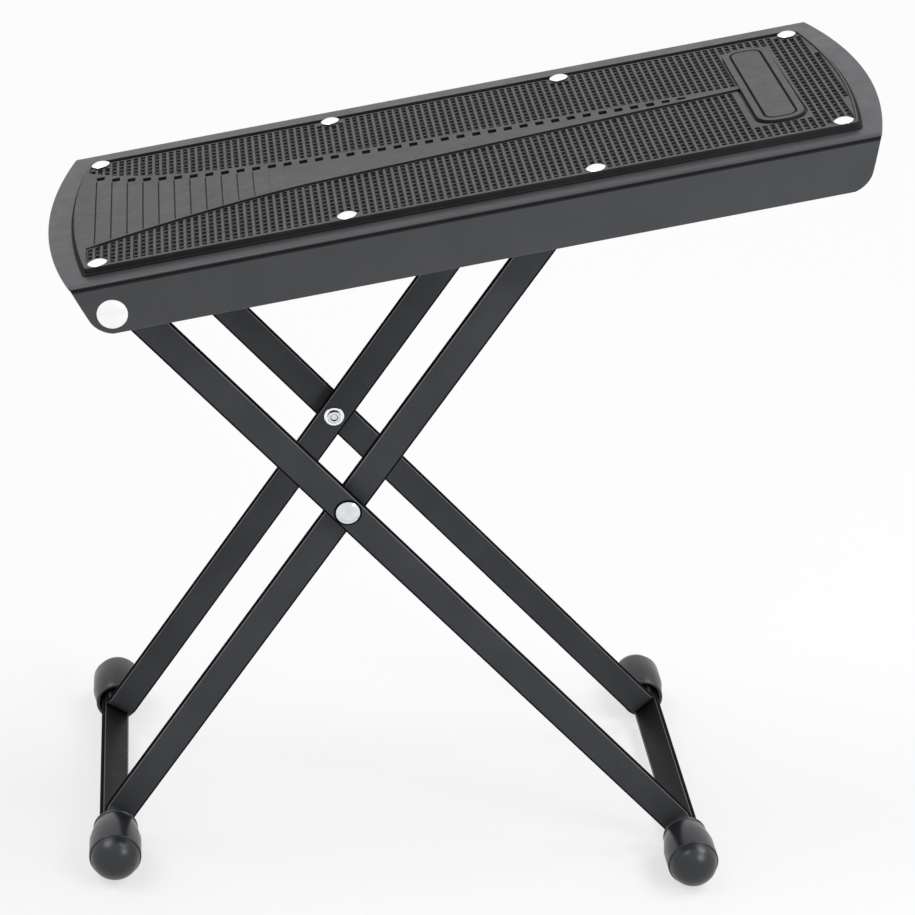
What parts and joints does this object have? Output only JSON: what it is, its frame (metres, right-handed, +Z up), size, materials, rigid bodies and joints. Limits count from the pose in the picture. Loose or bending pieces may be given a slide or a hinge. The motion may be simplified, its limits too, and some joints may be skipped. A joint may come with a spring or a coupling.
{
  "type": "guitar footrest",
  "caption": "Folding footrest for a guitar player: a tilted steel platform with a ribbed rubber tread on a scissor pair of flat strap legs with rubber feet, set in height by notched racks.",
  "frame": {"origin": "on the floor, under the middle of the whole footrest's outline", "axes": "+X from the platform's low end to its high end, +Y from the front to the rear side, +Z up"},
  "size_m": [0.2926, 0.1586, 0.305],
  "materials": {
    "black_paint": "satin black powder coat",
    "tread_rubber": "matt moulded rubber",
    "foot_rubber": "smooth rubber with a soft shine",
    "nickel": "bright nickel plate",
    "plain_steel": "zinc-plated steel"
  },
  "bodies": {
    "outer_frame": {"outer_leg_front": "black_paint", "outer_leg_rear": "black_paint", "outer_cross_strap": "black_paint", "outer_foot_front": "foot_rubber", "outer_foot_rear": "foot_rubber", "crossing_rivet_front": "nickel", "crossing_rivet_rear": "nickel", "spacing_washer_front": "plain_steel", "spacing_washer_rear": "plain_steel", "tail_washer_front": "plain_steel", "tail_washer_rear": "plain_steel"},
    "inner_frame": {"inner_leg_front": "black_paint", "inner_leg_rear": "black_paint", "inner_cross_strap": "black_paint", "inner_foot_front": "foot_rubber", "inner_foot_rear": "foot_rubber", "latch_rod": "plain_steel"},
    "platform": {"platform_tray": "black_paint", "tread_mat": "tread_rubber", "tread_rivet_1_front": "nickel", "tread_rivet_1_rear": "nickel", "tread_rivet_2_front": "nickel", "tread_rivet_2_rear": "nickel", "tread_rivet_3_front": "nickel", "tread_rivet_3_rear": "nickel", "tread_rivet_4_front": "nickel", "tread_rivet_4_rear": "nickel", "latch_rack_front": "black_paint", "latch_rack_rear": "black_paint", "pivot_rivet_front": "nickel", "pivot_rivet_rear": "nickel", "pivot_sleeve_front": "plain_steel", "pivot_sleeve_rear": "plain_steel"}
  },
  "joints": [
    {"name": "leg_fold", "type": "hinge", "parent": "outer_frame", "child": "inner_frame", "pos_m": [-0.03662, 0, 0.14507], "axis": [0, 1, 0], "range_deg": [0, 102]},
    {"name": "platform_tilt", "type": "hinge", "parent": "outer_frame", "child": "platform", "pos_m": [-0.12277, 0, 0.23004], "axis": [0, 1, 0], "range_deg": [0, 57]}
  ],
  "couplings": [
    {"joint": "platform_tilt", "follows": "leg_fold", "ratio": 0.5585}
  ]
}
